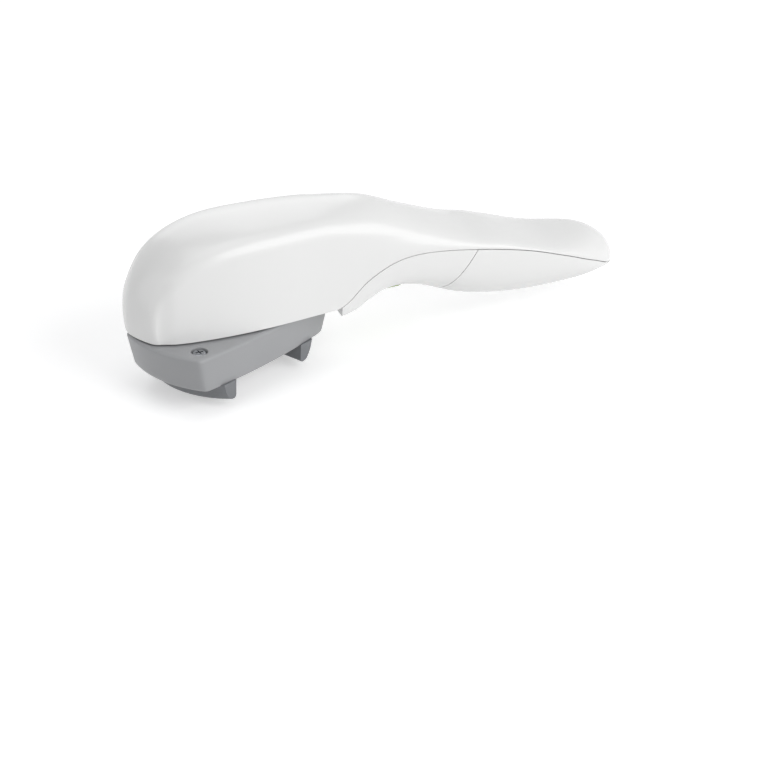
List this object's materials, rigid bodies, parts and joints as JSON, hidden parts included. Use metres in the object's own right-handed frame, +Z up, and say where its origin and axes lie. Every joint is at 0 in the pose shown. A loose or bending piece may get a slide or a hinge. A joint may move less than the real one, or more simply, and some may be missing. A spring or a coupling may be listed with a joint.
{
  "type": "automatic bottle opener",
  "caption": "Hand-held battery-driven bottle and jar opener with a white arched handle, a green trigger and a turning grey carrier whose two jaws close on a screw cap.",
  "frame": {"origin": "spin axis of the jaw carrier, at the top of the grip of its jaws", "axes": "+Z up along the spin axis, away from the cap; +X from the nose along the handle to its tail"},
  "size_m": [0.2001, 0.0586, 0.0573],
  "materials": {
    "white_abs": "gloss",
    "grey_abs": "satin",
    "dark_grey_abs": "satin",
    "green_abs": "satin",
    "black_abs": "matt",
    "acetal": "satin",
    "steel": "satin",
    "dark_steel": "satin",
    "brass": "satin",
    "board_green": "satin",
    "cell_grey": "gloss"
  },
  "bodies": {
    "housing": {"upper_housing": "white_abs", "lower_handle_shell": "white_abs", "head_base_plate": "white_abs", "base_screws": "steel", "handle_screw": "steel", "trigger_spring": "steel", "microswitch_body": "black_abs", "control_board": "board_green", "board_screws": "steel", "battery_tray": "white_abs", "battery_cell_left": "cell_grey", "battery_cell_right": "cell_grey", "contact_plates": "brass", "contact_springs": "steel", "motor_can": "steel", "motor_end_cap": "black_abs", "motor_screws": "steel", "idler_shaft": "steel", "upper_axle": "steel", "gearbox_frame": "black_abs", "hub_washer": "acetal"},
    "battery_cover": {"battery_cover": "white_abs"},
    "trigger": {"trigger_button": "green_abs"},
    "switch_plunger": {"switch_plunger": "acetal"},
    "motor_pinion": {"motor_pinion": "brass"},
    "crown_gear": {"crown_gear": "acetal"},
    "upper_reduction_gear": {"upper_reduction_gear": "acetal"},
    "lower_reduction_gear": {"lower_reduction_gear": "acetal"},
    "output_gear": {"output_gear": "acetal"},
    "carrier": {"carrier_shell": "grey_abs", "carrier_bottom_plate": "grey_abs", "carrier_screws": "dark_steel", "hub_retainer": "steel"},
    "jaw_pinion": {"jaw_pinion": "steel"},
    "jaw_front": {"jaw_front": "dark_grey_abs"},
    "jaw_rear": {"jaw_rear": "dark_grey_abs"}
  },
  "joints": [
    {"name": "carrier_spin", "type": "hinge", "parent": "housing", "child": "carrier", "pos_m": [0, 0, 0], "axis": [0, 0, 1], "continuous": true},
    {"name": "output_gear_spin", "type": "hinge", "parent": "housing", "child": "output_gear", "pos_m": [0, 0, 0.0211], "axis": [0, 0, 1], "continuous": true},
    {"name": "lower_reduction_gear_spin", "type": "hinge", "parent": "housing", "child": "lower_reduction_gear", "pos_m": [0.0125, 0, 0.024], "axis": [0, 0, 1], "continuous": true},
    {"name": "upper_reduction_gear_spin", "type": "hinge", "parent": "housing", "child": "upper_reduction_gear", "pos_m": [0, 0, 0.0262], "axis": [0, 0, 1], "continuous": true},
    {"name": "crown_gear_spin", "type": "hinge", "parent": "housing", "child": "crown_gear", "pos_m": [0.0125, 0, 0.0284], "axis": [0, 0, 1], "continuous": true},
    {"name": "motor_pinion_spin", "type": "hinge", "parent": "housing", "child": "motor_pinion", "pos_m": [0.0225, 0, 0.03193], "axis": [1, 0, 0], "continuous": true},
    {"name": "jaw_pinion_turn", "type": "hinge", "parent": "carrier", "child": "jaw_pinion", "pos_m": [0, 0, 0.00685], "axis": [0, 0, 1], "range_deg": [-23.87, 76.39]},
    {"name": "jaw_rear_slide", "type": "slide", "parent": "carrier", "child": "jaw_rear", "axis": [0.9272, 0.3746, 0], "range_m": [-0.008, 0.0025]},
    {"name": "jaw_front_slide", "type": "slide", "parent": "carrier", "child": "jaw_front", "axis": [-0.9272, -0.3746, 0], "range_m": [-0.008, 0.0025]},
    {"name": "trigger_press", "type": "slide", "parent": "housing", "child": "trigger", "axis": [0, 0, 1], "range_m": [0, 0.002], "stiffness_N_per_m": 400, "springref_m": -0.002, "deforming": ["trigger_spring"]},
    {"name": "switch_plunger_slide", "type": "slide", "parent": "housing", "child": "switch_plunger", "axis": [0, 0, 1], "range_m": [0, 0.002]},
    {"name": "battery_cover_slide", "type": "slide", "parent": "housing", "child": "battery_cover", "axis": [0.922, 0, -0.3871], "range_m": [0, 0.025]}
  ],
  "couplings": [
    {"joint": "output_gear_spin", "follows": "carrier_spin", "ratio": 1},
    {"joint": "lower_reduction_gear_spin", "follows": "carrier_spin", "ratio": -4},
    {"joint": "upper_reduction_gear_spin", "follows": "carrier_spin", "ratio": 16},
    {"joint": "crown_gear_spin", "follows": "carrier_spin", "ratio": -64},
    {"joint": "motor_pinion_spin", "follows": "carrier_spin", "ratio": -256},
    {"joint": "jaw_rear_slide", "follows": "jaw_pinion_turn", "m_per_rad": -0.006},
    {"joint": "jaw_front_slide", "follows": "jaw_pinion_turn", "m_per_rad": -0.006},
    {"joint": "switch_plunger_slide", "follows": "trigger_press", "ratio": 1}
  ]
}
